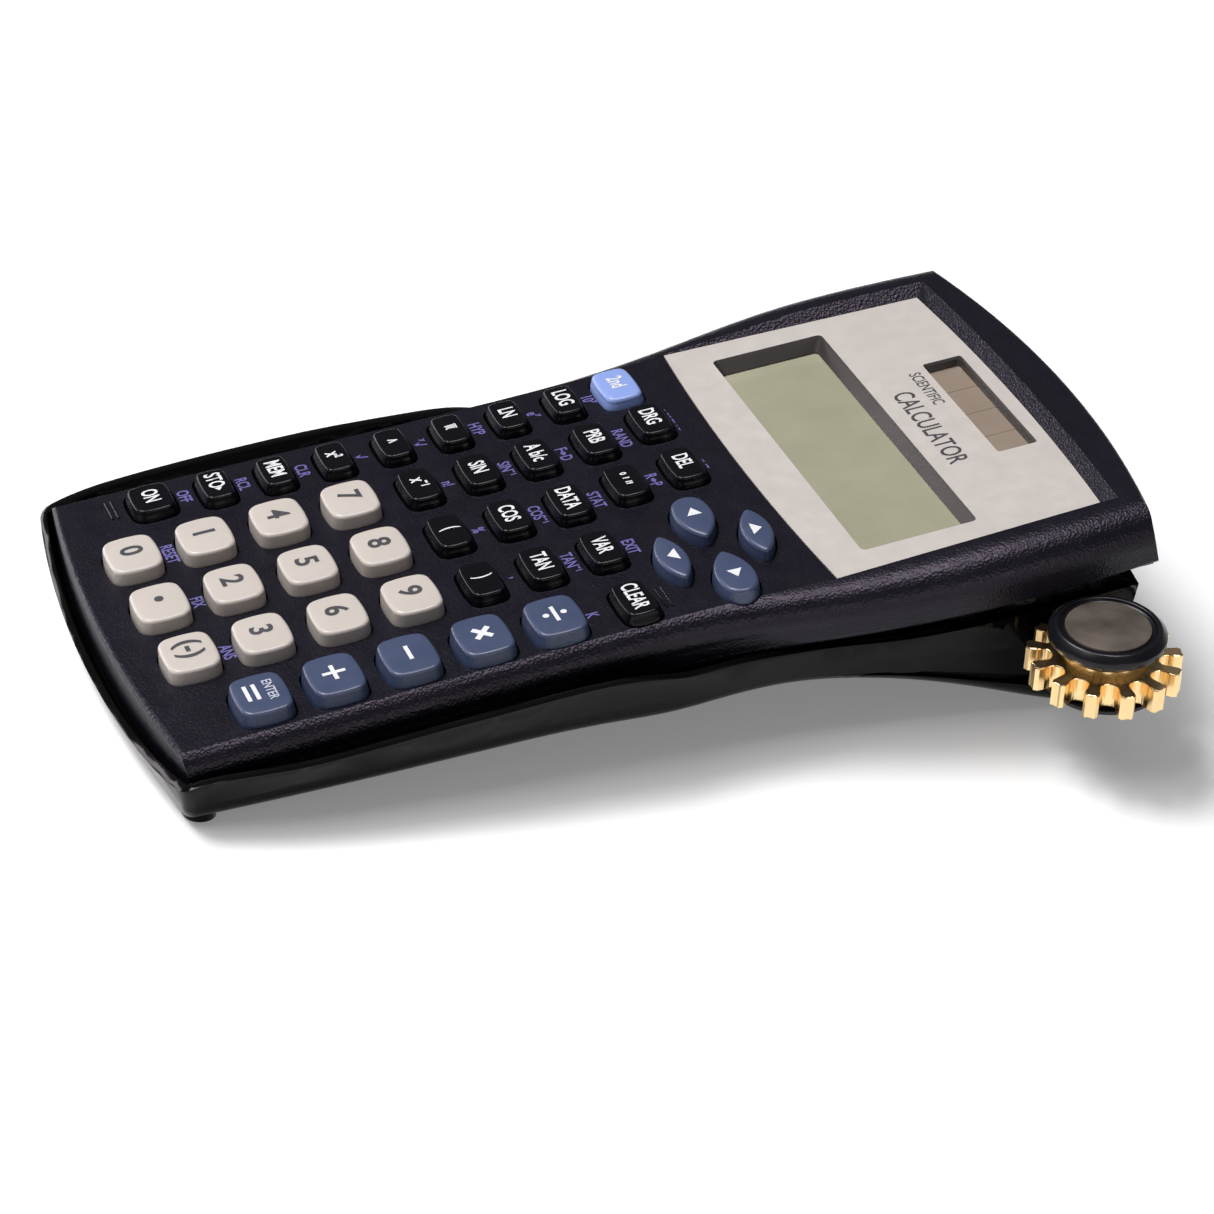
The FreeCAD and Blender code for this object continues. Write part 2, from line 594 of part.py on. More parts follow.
def slide_cover():
    feet = [cylinder(FOOT_R, -16, -8, s * FOOT_AT[0], FOOT_AT[1]) for s in (1, -1)]
    outer = cover_blank().fuse(feet)
    ground = [(-30, rest_height(-30)), (200, rest_height(200)), (200, 30), (-30, 30)]
    outer = outer.common(plain_prism(ground, -60, 60))
    outer = outer.cut(end_cutter(COVER_OPEN_Y, COVER_OPEN_DROP, 240, -COVER_OPEN_SLANT, -60, 20))
    cut = scoop()
    cover = outer.cut(cover_room()).cut(cut).cut(cut.mirror(Vector(), X_AXIS))
    y0, y1, z0, z1 = RAIL
    rail = box(RAIL_REACH, COVER_INNER_HALF + 1.1, y0, y1, z0, z1)
    cover = cover.fuse([rail, rail.mirror(Vector(), X_AXIS)])
    return cover.fuse(ledge()).removeSplitter()


def ledge():
    """Tongue that reaches out from the side wall under the spinner."""
    reach = SPIN_AT[0] - COVER_HALF + 3.0
    tongue = cylinder(LEDGE_R, -LEDGE_THICK, 0)
    tongue = tongue.fuse(box(-reach, 0, -LEDGE_R, LEDGE_R, -LEDGE_THICK, 0))
    tongue = tongue.cut(cylinder(PEG_R + 0.1, -5, 5))
    return place_spinner(tongue)


# ---- geared spinner -------------------------------------------------------------------
def place_spinner(shape):
    shape.rotate(Vector(), X_AXIS, -SPIN_LEAN)
    shape.translate(Vector(*SPIN_AT))
    return shape


def gear_wheel():
    """Spur gear with rounded roots, a raised hub and a bore for the bearing."""
    blank = cylinder(TIP_R, *GEAR_Z)
    cuts = []
    pitch = 2 * math.pi / TEETH
    for i in range(TEETH):
        angle = GEAR_TURN + math.degrees(i * pitch)
        middle = ROOT_R + ROOT_ROUND
        root = cylinder(ROOT_ROUND, GEAR_Z[0] - 1, GEAR_Z[1] + 1, middle, 0)
        near, far = GAP_HALF
        flank = [Vector(middle, -near, -1), Vector(TIP_R + 1, -far, -1),
                 Vector(TIP_R + 1, far, -1), Vector(middle, near, -1)]
        gap = Part.Face(Part.makePolygon(flank + flank[:1])).extrude(Vector(0, 0, 9))
        gap = gap.fuse(root)
        gap.rotate(Vector(), Z_AXIS, angle)
        cuts.append(gap)
    gear = blank.cut(Part.makeCompound(cuts))
    gear = gear.fuse(cylinder(HUB_R, GEAR_Z[0], HUB_TOP))
    return gear.cut(cylinder(RACE_OUTER[0], -5, 20)).removeSplitter()


def bearing():
    """Outer ring in the gear, and the ball set; the post carries the inner ball track."""
    outer = ring(*RACE_OUTER, *RACE_Z).cut(ball_track())
    middle = sum(RACE_Z) / 2
    ball = Part.makeSphere(BALL_RADIUS, Vector(BALL_RING, 0, middle))
    balls = []
    for i in range(BALLS):
        copy = ball.copy()
        copy.rotate(Vector(), Z_AXIS, i * 360.0 / BALLS)
        balls.append(copy)
    cage = ring(BALL_RING + 0.35, BALL_RING - 0.35, middle - 0.3, middle + 1.5)
    PARTS["bearing_outer_race"] = outer
    PARTS["bearing_balls"] = Part.makeCompound(balls + [cage.cut(Part.makeCompound(balls))])


def ball_track():
    return Part.makeTorus(BALL_RING, BALL_RADIUS + 0.05, Vector(0, 0, sum(RACE_Z) / 2))


def spinner_post():
    """Lower cap, ball track and the peg that is staked through the ledge."""
    post = cylinder(CAP_R, 0, LOW_CAP).fuse([cylinder(TRACK_R, 0, RACE_Z[1]).cut(ball_track()),
                                             cylinder(POST_R, RACE_Z[1] - 1, CAP_Z[0] + 1.0),
                                             cylinder(PEG_R, -LEDGE_THICK, 0.1)])
    return post.removeSplitter()


def spinner_cap():
    """Upper cap with a bevelled edge and a shallow seat for its inlay."""
    edge = CAP_R - CAP_TOP_R
    cap = cylinder(CAP_R, CAP_Z[0], CAP_Z[1] - edge).fuse(
        Part.makeCone(CAP_R, CAP_TOP_R, edge, Vector(0, 0, CAP_Z[1] - edge)))
    cap = cap.fuse(cylinder(TRACK_R, RACE_Z[1], CAP_Z[0]))
    cap = cap.cut(cylinder(INLAY_R + INLAY_GAP, CAP_Z[1] - INLAY_SEAT, 20))
    inlay = cylinder(INLAY_R, CAP_Z[1] - INLAY_SEAT, CAP_Z[1] - 0.15)
    return cap.fuse(inlay).cut(cylinder(POST_R, 0, CAP_Z[0] + 1.0)).removeSplitter()


def spinner():
    first = set(PARTS)
    bearing()
    PARTS["gear_wheel"] = gear_wheel()
    PARTS["spinner_post"] = spinner_post()
    PARTS["spinner_cap"] = spinner_cap()
    for name in set(PARTS) - first:
        PARTS[name] = place_spinner(PARTS[name])


# ---- assembly -------------------------------------------------------------------------
def build():
    body = case_body()
    PARTS["front_case"] = front_case(body)
    PARTS["back_case"] = back_case(body)
    PARTS["case_screws"] = case_screws()
    PARTS["battery_door"] = battery_door()
    PARTS["display_panel"] = display_panel()
    PARTS["lcd_module"] = lcd_module()
    PARTS["solar_cell"] = solar_cell()
    PARTS["key_membrane"] = key_membrane()
    PARTS["circuit_board"] = circuit_board()
    PARTS["button_cell"] = button_cell()
    make_keys()
    PARTS["slide_cover"] = slide_cover()
    spinner()


def stand_on_surface():
    """Lean every piece back to its resting angle and centre it over the origin."""
    for shape in PARTS.values():
        shape.rotate(Vector(), X_AXIS, REST_LEAN)
    whole = FreeCAD.BoundBox()
    for shape in PARTS.values():
        whole.add(shape.optimalBoundingBox(False, False))
    shift = Vector(-whole.Center.x, -whole.Center.y, -whole.ZMin)
    for shape in PARTS.values():
        shape.translate(shift)
    print("shift", [round(v, 4) for v in shift], "size", whole.XLength, whole.YLength,
          whole.ZLength)


build()
stand_on_surface()
os.makedirs("parts", exist_ok=True)
for part_name, part_shape in PARTS.items():
    if not part_shape.isValid():
        print("not valid:", part_name)
    part_shape.exportStep("parts/" + part_name + ".step")
print(len(PARTS), "nodes")
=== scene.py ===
"""Looks of a pocket scientific calculator, its slide cover and the geared spinner on the cover.

Everything is drawn in the calculator's own millimetres: X across the keys, Y from the keypad
end towards the display, Z out of the key face, with the key face at Z = 0.  CALC takes that to
the frame's metres, and SPIN does the same for the spinner, whose Z is its axle.
"""

import json
import math

import bpy
from mathutils import Matrix, Vector


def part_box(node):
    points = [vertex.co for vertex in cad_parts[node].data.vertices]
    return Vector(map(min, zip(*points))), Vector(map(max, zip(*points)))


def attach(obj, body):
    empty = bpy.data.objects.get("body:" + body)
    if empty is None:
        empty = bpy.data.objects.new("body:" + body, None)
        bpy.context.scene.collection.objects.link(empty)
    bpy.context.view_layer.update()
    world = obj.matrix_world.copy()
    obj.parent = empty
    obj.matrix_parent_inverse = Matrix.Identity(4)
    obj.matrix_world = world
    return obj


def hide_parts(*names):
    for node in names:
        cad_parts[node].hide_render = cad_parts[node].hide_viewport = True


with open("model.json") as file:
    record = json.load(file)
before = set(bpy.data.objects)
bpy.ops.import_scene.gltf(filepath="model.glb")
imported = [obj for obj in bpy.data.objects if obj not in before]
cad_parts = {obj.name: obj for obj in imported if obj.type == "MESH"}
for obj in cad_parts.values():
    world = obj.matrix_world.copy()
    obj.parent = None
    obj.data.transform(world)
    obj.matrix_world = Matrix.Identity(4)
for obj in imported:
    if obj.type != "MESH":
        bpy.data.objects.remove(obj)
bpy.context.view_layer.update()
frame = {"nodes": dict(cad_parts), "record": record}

# ---- places taken from the frame ------------------------------------------------------
LEAN = math.radians(9.2)             # the cover rests on the table with the key face leaning
PANEL_Y = (104.6, 150.2)
SPIN_AT = (48.5, 141.1, -18.9)       # underside of the spinner's lower cap
SPIN_LEAN = math.radians(5.0)


def calculator_frame():
    """The calculator's millimetres to the frame's metres, fixed by the display panel's box."""
    low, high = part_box("display_panel")
    across = (low.x + high.x) / 2
    along = low.y - PANEL_Y[0] / 1000 * math.cos(LEAN)
    up = high.z - PANEL_Y[1] / 1000 * math.sin(LEAN)
    turn = Matrix.Rotation(LEAN, 4, "X")
    return Matrix.Translation((across, along, up)) @ turn @ Matrix.Scale(0.001, 4)


CALC = calculator_frame()
SPIN = CALC @ Matrix.Translation(SPIN_AT) @ Matrix.Rotation(-SPIN_LEAN, 4, "X")

# ---- keys -----------------------------------------------------------------------------
NUMBER = {"size": (9.4, 8.2), "height": 2.2, "edge": 0.6, "draft": 0.12, "crown": 0.14}
OPERATOR = {"size": (9.9, 8.5), "height": 2.2, "edge": 0.55, "draft": 0.3, "crown": 0.10}
FUNCTION = {"size": (9.4, 6.1), "height": 1.7, "edge": 0.45, "draft": 0.5, "crown": 0.05}
COLUMN_ONE = dict(FUNCTION, size=(8.6, 5.6))
POWER = dict(FUNCTION, size=(8.2, 7.3))
SHIFT = {"size": (9.4, 6.8), "height": 1.7, "edge": 0.75, "draft": 0.3, "crown": 0.12}
PETAL_SIDE = {"size": (11.4, 6.3), "height": 2.0, "edge": 0.65, "draft": 0.2, "crown": 0.12}
PETAL_END = dict(PETAL_SIDE, size=(12.4, 5.0))
SUNK = -1.6                          # height at which a drawn key ends, below the face

# The sides of a rounded key bow outwards by this share of its depth, and its corners are round
# with a radius of this share of the depth.
SIDE_BOW = 0.11 / 2
CORNER_SHARE = 0.25
# A petal-shaped arrow key: where its widest point and its blunt end's corners lie along it, how
# wide it is at those corners, and the radius of its tips.
PETAL_PEAK, PETAL_SHOULDER, PETAL_BLUNT, PETAL_TIP_R = 0.12, 0.72, 0.83, 0.9
EDGE_STEPS = 8                       # straight pieces in the rounded edge of a key
CROWN_RINGS = (0.93, 0.82, 0.64, 0.42, 0.2)

IVORY, BLUE, BLACK, LIGHT_BLUE = "key_ivory", "key_blue", "key_black", "key_periwinkle"

# name: x, y, shape, finish, legend, second legend printed beyond the key on the case
KEYS = {
    "key_0": (-13.4, 13.8, NUMBER, IVORY, "0", "RESET"),
    "key_point": (0, 14.0, NUMBER, IVORY, "•", "FIX"),
    "key_negate": (13.4, 14.3, NUMBER, IVORY, "(-)", "ANS"),
    "key_1": (-13.4, 24.9, NUMBER, IVORY, "1", ""),
    "key_2": (0, 25.1, NUMBER, IVORY, "2", ""),
    "key_3": (13.4, 25.2, NUMBER, IVORY, "3", ""),
    "key_4": (-13.4, 36.3, NUMBER, IVORY, "4", ""),
    "key_5": (0, 36.4, NUMBER, IVORY, "5", ""),
    "key_6": (13.4, 36.5, NUMBER, IVORY, "6", ""),
    "key_7": (-13.4, 47.5, NUMBER, IVORY, "7", ""),
    "key_8": (0, 47.6, NUMBER, IVORY, "8", ""),
    "key_9": (13.4, 47.7, NUMBER, IVORY, "9", ""),
    "key_enter": (27.0, 20.6, OPERATOR, BLUE, "=", ""),
    "key_plus": (27.0, 31.4, OPERATOR, BLUE, "+", ""),
    "key_minus": (27.0, 42.5, OPERATOR, BLUE, "−", ""),
    "key_times": (27.0, 53.6, OPERATOR, BLUE, "×", ""),
    "key_divide": (27.0, 64.6, OPERATOR, BLUE, "÷", "K"),
    "key_clear": (27.2, 76.8, FUNCTION, BLACK, "CLEAR", ""),
    "key_open": (0, 58.3, FUNCTION, BLACK, "(", "%"),
    "key_close": (13.4, 58.4, FUNCTION, BLACK, ")", ","),
    "key_cosine": (0, 67.7, FUNCTION, BLACK, "COS", "COS⁻¹"),
    "key_tangent": (13.4, 67.7, FUNCTION, BLACK, "TAN", "TAN⁻¹"),
    "key_data": (0, 77.1, FUNCTION, BLACK, "DATA", "STAT"),
    "key_statistics": (13.4, 77.2, FUNCTION, BLACK, "VAR", "EXIT"),
    "key_degrees": (-1.2, 86.8, FUNCTION, BLACK, "° ′ ″", "R◂▸P"),
    "key_delete": (-1.9, 96.3, FUNCTION, BLACK, "DEL", "INS"),
    "key_reciprocal": (-13.4, 58.4, FUNCTION, BLACK, "x⁻¹", "n!"),
    "key_sine": (-13.4, 67.8, FUNCTION, BLACK, "SIN", "SIN⁻¹"),
    "key_fraction": (-13.4, 77.1, FUNCTION, BLACK, "A b/c", "F◂▸D"),
    "key_random": (-13.7, 86.7, FUNCTION, BLACK, "PRB", "RAND"),
    "key_angle": (-15.2, 96.4, FUNCTION, BLACK, "DRG", "SCI/ENG"),
    "key_on": (-27.0, 20.6, POWER, BLACK, "ON", "OFF"),
    "key_store": (-26.4, 30.5, COLUMN_ONE, BLACK, "STO▸", "RCL"),
    "key_memory": (-26.0, 39.8, COLUMN_ONE, BLACK, "MEM", "CLR"),
    "key_square": (-25.8, 49.1, COLUMN_ONE, BLACK, "x²", "√"),
    "key_power": (-25.6, 58.4, COLUMN_ONE, BLACK, "^", "ˣ√"),
    "key_pi": (-25.5, 67.7, COLUMN_ONE, BLACK, "π", "HYP"),
    "key_natural_log": (-25.5, 77.0, COLUMN_ONE, BLACK, "LN", "eˣ"),
    "key_log": (-25.7, 86.2, COLUMN_ONE, BLACK, "LOG", "10ˣ"),
    "key_second": (-26.3, 95.3, SHIFT, LIGHT_BLUE, "2nd", ""),
    "key_left": (12.4, 92.3, PETAL_SIDE, BLUE, "", ""),
    "key_right": (27.2, 92.1, PETAL_SIDE, BLUE, "", ""),
    "key_up": (19.2, 99.2, PETAL_END, BLUE, "", ""),
    "key_down": (20.3, 85.4, PETAL_END, BLUE, "", ""),
}
# arrow keys: blunt end (-1 left, 1 right, 0 neither), turn of the key and way of its arrow in
# degrees
PETALS = {"key_left": (-1, -3, 180), "key_right": (1, -3, 0), "key_up": (0, -7, 90),
          "key_down": (0, 0, -90)}


# ---- materials ------------------------------------------------------------------------
TINT_BLOTCH = 9.0                    # millimetres between lighter and darker places
GLOSS_BLOTCH = 3.0                   # millimetres between duller and glossier places
GLOSS_WANDER = 0.12                  # share by which the roughness varies
GRAIN_CELLS = 2.6                    # cells of the moulded leather grain in a millimetre
GRAIN_DEPTH = 0.08
COLOUR_A, COLOUR_B, COLOUR_OUT = 6, 7, 2     # colour sockets of the Mix node
CREASE_SIZE, CREASE_DEPTH = 0.9, 0.035


def node(tree, kind, **values):
    """New shader node: lower-case names set its properties, and capitalised ones its sockets."""
    made = tree.nodes.new(kind)
    for key, value in values.items():
        if key.islower():
            setattr(made, key, value)
    for key, value in values.items():
        if not key.islower():
            made.inputs[key.replace("_", " ")].default_value = value
    return made


def millimetres(tree):
    """Texture coordinates of the object in millimetres, which ride with it."""
    where = node(tree, "ShaderNodeTexCoord")
    scale = node(tree, "ShaderNodeMapping", Scale=(1000, 1000, 1000))
    tree.links.new(where.outputs["Object"], scale.inputs["Vector"])
    return scale.outputs["Vector"]


def noise(tree, size, detail=3.0):
    """Soft cloudy pattern from 0 to 1, with blotches about size millimetres across."""
    made = node(tree, "ShaderNodeTexNoise", Scale=1.0 / size, Detail=detail, Roughness=0.55)
    tree.links.new(millimetres(tree), made.inputs["Vector"])
    return made.outputs["Fac"]


def spread(tree, source, low, high):
    """The middle values of a noise, 0.3 to 0.7, stretched over low to high."""
    made = node(tree, "ShaderNodeMapRange", From_Min=0.3, From_Max=0.7, To_Min=low, To_Max=high)
    tree.links.new(source, made.inputs["Value"])
    return made.outputs["Result"]


def mixed(tree, factor, first, second):
    """Colour that goes from the first to the second colour with factor."""
    made = node(tree, "ShaderNodeMix", data_type="RGBA")
    tree.links.new(factor, made.inputs["Factor"])
    made.inputs[COLOUR_A].default_value = (*first, 1)
    made.inputs[COLOUR_B].default_value = (*second, 1)
    return made.outputs[COLOUR_OUT]


def bump(tree, height, depth, strength=1.0, under=None):
    """Surface normal from a height pattern of depth millimetres."""
    made = node(tree, "ShaderNodeBump", Distance=depth / 1000, Strength=strength)
    tree.links.new(height, made.inputs["Height"])
    if under is not None:
        tree.links.new(under, made.inputs["Normal"])
    return made.outputs["Normal"]


def finish(name, colour, rough, vary=0.08, grain=None, **sockets):
    """Moulded or painted surface whose colour and gloss wander a little.

    vary is the share by which the colour varies, grain is the (size, depth) of a fine relief in
    millimetres, and sockets are constant inputs of the shader.
    """
    made = bpy.data.materials.new(name)
    made.use_nodes = True
    tree = made.node_tree
    shader = tree.nodes["Principled BSDF"]
    for key, value in sockets.items():
        shader.inputs[key.replace("_", " ")].default_value = value
    dark = [c * (1 - vary) for c in colour]
    light = [c * (1 + vary) for c in colour]
    tint = mixed(tree, spread(tree, noise(tree, TINT_BLOTCH), 0, 1), dark, light)
    tree.links.new(tint, shader.inputs["Base Color"])
    gloss = spread(tree, noise(tree, GLOSS_BLOTCH), rough * (1 - GLOSS_WANDER),
                   rough * (1 + GLOSS_WANDER))
    tree.links.new(gloss, shader.inputs["Roughness"])
    if grain:
        tree.links.new(bump(tree, noise(tree, grain[0], 2.0), grain[1]), shader.inputs["Normal"])
    return made


def leather(name, colour, rough, **sockets):
    """Pebbled moulded grain: small rounded cells with soft creases between them."""
    made = finish(name, colour, rough, vary=0.12, **sockets)
    tree = made.node_tree
    cells = node(tree, "ShaderNodeTexVoronoi", Scale=GRAIN_CELLS, Randomness=1.0,
                 Smoothness=0.6, feature="SMOOTH_F1")
    tree.links.new(millimetres(tree), cells.inputs["Vector"])
    creases = bump(tree, noise(tree, CREASE_SIZE), CREASE_DEPTH)
    tree.links.new(bump(tree, cells.outputs["Distance"], GRAIN_DEPTH, 0.8, creases),
                   tree.nodes["Principled BSDF"].inputs["Normal"])
    return made


def build_materials():
    """Every finish of the object by the name of its slot."""
    return {
        "case_plastic": leather("case_plastic", (0.0048, 0.0045, 0.0090), 0.34,
                                Specular_IOR_Level=0.26, Specular_Tint=(0.93, 0.86, 1.0, 1)),
        "cover_plastic": finish("cover_plastic", (0.0028, 0.0023, 0.0022), 0.13,
                                grain=(2.4, 0.003), Specular_IOR_Level=0.14),
        IVORY: finish(IVORY, (0.61, 0.55, 0.50), 0.33, 0.02, (0.5, 0.003),
                      Subsurface_Weight=0.15, Subsurface_Radius=(1.0, 0.7, 0.45),
                      Subsurface_Scale=0.001),
        BLUE: finish(BLUE, (0.050, 0.070, 0.140), 0.36, 0.05, (0.4, 0.004)),
        LIGHT_BLUE: finish(LIGHT_BLUE, (0.27, 0.38, 0.78), 0.33, 0.04, (0.4, 0.003)),
        BLACK: finish(BLACK, (0.0035, 0.0032, 0.0050), 0.22, 0.1, (0.5, 0.003),
                      Specular_IOR_Level=0.18),
        "silver_panel": finish("silver_panel", (0.66, 0.61, 0.57), 0.42, 0.02, (0.12, 0.002),
                               Metallic=0.25),
        "lcd": finish("lcd", (0.36, 0.345, 0.245), 0.14, 0.05),
        "solar_cell": finish("solar_cell", (0.30, 0.235, 0.185), 0.2, 0.06),
        "silicone": finish("silicone", (0.25, 0.26, 0.28), 0.6, 0.05, (0.3, 0.005)),
        "board": finish("board", (0.02, 0.16, 0.07), 0.4, 0.1, (0.5, 0.01)),
        "screw_steel": finish("screw_steel", (0.55, 0.55, 0.56), 0.3, 0.08, (0.2, 0.003),
                              Metallic=1.0),
        "brass": finish("brass", (0.95, 0.69, 0.35), 0.24, 0.07, (0.3, 0.004), Metallic=1.0),
        "bearing_steel": finish("bearing_steel", (0.72, 0.71, 0.70), 0.16, 0.05, (0.3, 0.002),
                                Metallic=1.0),
        "cap_black": finish("cap_black", (0.006, 0.006, 0.009), 0.30, 0.1, (0.15, 0.003),
                            Specular_IOR_Level=0.3),
        "cap_inlay": finish("cap_inlay", (0.088, 0.070, 0.056), 0.70, 0.6, (0.22, 0.05),
                            Specular_IOR_Level=0.35),
        "bezel": finish("bezel", (0.050, 0.044, 0.040), 0.38, 0.08, (0.4, 0.004)),
        "cell_line": finish("cell_line", (0.24, 0.185, 0.145), 0.3, 0.1),
        "ink_white": finish("ink_white", (0.82, 0.82, 0.84), 0.5, 0.03),
        "ink_pale": finish("ink_pale", (0.55, 0.56, 0.66), 0.5, 0.03),
        "ink_dark": finish("ink_dark", (0.05, 0.05, 0.058), 0.5, 0.1),
        "ink_violet": finish("ink_violet", (0.13, 0.115, 0.36), 0.55, 0.08),
    }


MATERIALS = build_materials()


def paint(obj, slot):
    """One material over the whole piece."""
    obj.data.materials.clear()
    obj.data.materials.append(MATERIALS[slot])


def paint_cad_nodes():
    """Gives each CAD piece the finish of its slot in the record."""
    for part in frame["record"]["subparts"]:
        paint(frame["nodes"][part["node"]], part["material_slot"])


WELD_REACH = 0.000002                # metres within which the corners of a CAD mesh are one


def ease_edges(name, width):
    """Rounds the sharp edges of a CAD piece by width millimetres, so that they catch the light."""
    obj = frame["nodes"][name]
    weld = obj.modifiers.new("weld", "WELD")
    weld.merge_threshold = WELD_REACH
    bevel = obj.modifiers.new("ease", "BEVEL")
    bevel.width = width / 1000
    bevel.segments = 2
    bevel.limit_method = "ANGLE"
    bevel.angle_limit = math.radians(45)
    bevel.harden_normals = True


# ---- mesh helpers ---------------------------------------------------------------------
def piece(name, points, faces, matrix, body, slot, smooth=True):
    """New mesh piece from points in millimetres, riding on a CAD body."""
    mesh = bpy.data.meshes.new(name)
    mesh.from_pydata([matrix @ Vector(p) for p in points], [], faces)
    mesh.update()
    if smooth:
        mesh.shade_smooth()
    obj = bpy.data.objects.new(name, mesh)
    bpy.context.scene.collection.objects.link(obj)
    paint(obj, slot)
    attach(obj, body)
    return obj


def stacked(rings):
    """Points and faces that join equal closed rings of points, one above the other."""
    count = len(rings[0])
    faces = []
    for low in range(0, (len(rings) - 1) * count, count):
        high = low + count
        for i in range(count):
            j = (i + 1) % count
            faces.append((low + i, low + j, high + j, high + i))
    return [p for ring in rings for p in ring], faces


def direction(angle):
    """Unit vector at an angle from X."""
    return Vector((math.cos(angle), math.sin(angle)))


def meeting(a, b, near):
    """Crossing point of two circles, given as (centre, radius), nearest to a point."""
    gap = b[0] - a[0]
    along = (a[1] ** 2 - b[1] ** 2 + gap.length_squared) / (2 * gap.length)
    off = math.sqrt(max(0.0, a[1] ** 2 - along ** 2))
    unit = gap.normalized()
    side = Vector((-unit.y, unit.x))
    options = [a[0] + unit * along + side * off, a[0] + unit * along - side * off]
    return min(options, key=lambda p: (p - near).length)


def circle_through(a, b, c):
    """(centre, radius) of the circle through three points."""
    p, q = b - a, c - a
    d = 2 * (p.x * q.y - p.y * q.x)
    x = (q.y * p.length_squared - p.y * q.length_squared) / d
    y = (p.x * q.length_squared - q.x * p.length_squared) / d
    return a + Vector((x, y)), math.hypot(x, y)


def arc_sides(shape, blunt):
    """Circles of a key's bowed sides in turn, and the corner after each of them.

    blunt is None for a rounded key, and otherwise the blunt end of a petal, as in PETALS.
    """
    a, b = shape["size"][0] / 2, shape["size"][1] / 2
    if blunt is None:
        bow = SIDE_BOW * 2 * b
        corners = [Vector(p) for p in ((bow - a, b - bow), (bow - a, bow - b), (a - bow, bow - b),
                                       (a - bow, b - bow))]
        middles = [Vector(p) for p in ((0, b), (-a, 0), (0, -b), (a, 0))]
    elif blunt == 0:
        corners = [Vector((-a, 0)), Vector((a, 0))]
        middles = [Vector((0, b)), Vector((0, -b))]
    else:
        peak, shoulder = blunt * a * PETAL_PEAK, blunt * a * PETAL_SHOULDER
        corners = [Vector((-blunt * a, 0)), Vector((shoulder, -b * PETAL_BLUNT)),
                   Vector((shoulder, b * PETAL_BLUNT))]
        middles = [Vector((peak, b)), Vector((peak, -b)), Vector((blunt * a, 0))]
        if blunt < 0:
            corners = [corners[0], corners[2], corners[1]]
            middles = [middles[1], middles[0], middles[2]]
    circles = [circle_through(corners[i - 1], middles[i], corners[i]) for i in range(len(corners))]
    return circles, corners


def key_outline(shape, blunt, inset, per_side=22, per_corner=9):
    """Closed outline of a key, drawn in by inset, with its corners rounded."""
    circles, corners = arc_sides(shape, blunt)
    radius = CORNER_SHARE * shape["size"][1] if blunt is None else PETAL_TIP_R
    inner = [(centre, r - radius) for centre, r in circles]
    count = len(circles)
    ends = [meeting(inner[i], inner[(i + 1) % count], corners[i]) for i in range(count)]
    reach = radius - inset
    points = []
    for i, (centre, r) in enumerate(inner):
        first, last = ends[i - 1] - centre, ends[i] - centre
        start = math.atan2(first.y, first.x)
        turn = (math.atan2(last.y, last.x) - start) % (2 * math.pi)
        for k in range(per_side):
            points.append(centre + direction(start + turn * k / per_side) * (r + reach))
        following = ends[i] - inner[(i + 1) % count][0]
        start = math.atan2(last.y, last.x)
        turn = (math.atan2(following.y, following.x) - start) % (2 * math.pi)
        for k in range(per_corner):
            points.append(ends[i] + direction(start + turn * k / per_corner) * reach)
    return points


def key_matrix(name):
    """Millimetres of one key, from the middle of its foot on the face, to the frame."""
    x, y = KEYS[name][:2]
    turn = math.radians(PETALS[name][1]) if name in PETALS else 0.0
    return CALC @ Matrix.Translation((x, y, 0)) @ Matrix.Rotation(turn, 4, "Z")


def key_rings(shape, blunt):
    """Rings of a key cap from below the face, up its drafted wall, over the edge, to the crown."""
    height, edge, draft = shape["height"], shape["edge"], shape["draft"]
    levels = [(0.0, SUNK), (0.02, 0.0), (draft * 0.6, (height - edge) * 0.55)]
    for k in range(EDGE_STEPS + 1):
        angle = math.radians(90 * k / EDGE_STEPS)
        levels.append((draft + edge * (1 - math.cos(angle)),
                       height - edge * (1 - math.sin(angle))))
    rings = [[(p.x, p.y, z) for p in key_outline(shape, blunt, inset)] for inset, z in levels]
    rim = rings[-1]
    for share in CROWN_RINGS:
        rise = shape["crown"] * (1 - share ** 2)
        rings.append([(x * share, y * share, height + rise) for x, y, z in rim])
    return rings


def make_key(name):
    """Key cap drawn in place of the CAD one."""
    shape, slot = KEYS[name][2:4]
    blunt = PETALS[name][0] if name in PETALS else None
    rings = key_rings(shape, blunt)
    points, faces = stacked(rings)
    count = len(rings[0])
    points.append((0, 0, shape["height"] + shape["crown"]))
    last = (len(rings) - 1) * count
    faces += [(last + i, last + (i + 1) % count, len(points) - 1) for i in range(count)]
    cap = piece(name + "_cap", points, faces, key_matrix(name), name, slot)
    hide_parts(name)


# ---- display --------------------------------------------------------------------------
WINDOW = (28.2, 112.0, 130.6)        # half width, y from, y to
SOLAR = (13.4, 141.2, 147.8)
# linings of the two openings, as (step inwards, height)
WINDOW_LINING = ((0.02, -0.03), (0.25, -0.5), (1.2, -2.28))
SOLAR_LINING = ((0.02, -0.03), (0.2, -0.4), (0.45, -1.56))
# words on the panel: x, y, height, width
WORDS = {"SCIENTIFIC": (-7.0, 139.0, 2.0, 17.0), "CALCULATOR": (3.0, 134.9, 3.4, 27.0)}
SOLAR_CELLS = 4
CELL_LINE_HALF = 0.09
CELL_TOP = -1.6
# pairs of raised bars beside a key, as (x from, x to, y of each bar)
RAISED_BARS = {"clear_bar": (24.5, 29.2, (80.9, 81.8)), "on_bar": (-30.5, -26.0, (14.3, 15.2))}
RAISED_BAR_HALF = 0.22


